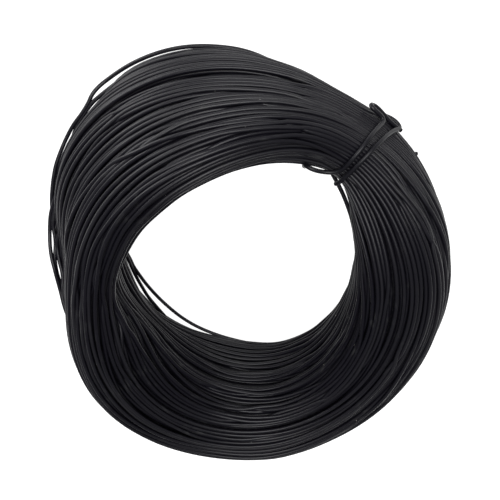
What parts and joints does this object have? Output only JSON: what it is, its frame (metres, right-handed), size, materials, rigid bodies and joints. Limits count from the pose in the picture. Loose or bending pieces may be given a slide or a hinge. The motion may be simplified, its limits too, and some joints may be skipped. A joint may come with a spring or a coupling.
{
  "type": "coil of binding wire",
  "caption": "Loose round coil of black coated binding wire, lying flat, its turns gripped at one side by a short wire tie with a folded end.",
  "frame": {"origin": "on the floor plane, under the middle of the coil's overall box", "axes": "+Z is the coil's axis and points up out of the bore, -Y is the side that faces the picture's camera"},
  "size_m": [0.2102, 0.221, 0.0836],
  "materials": {
    "black_coating": "satin black coating over steel wire",
    "tie_coating": "satin black coating over steel wire"
  },
  "bodies": {
    "root": {"wire_coil": "black_coating", "tie_wire": "tie_coating"}
  },
  "joints": []
}
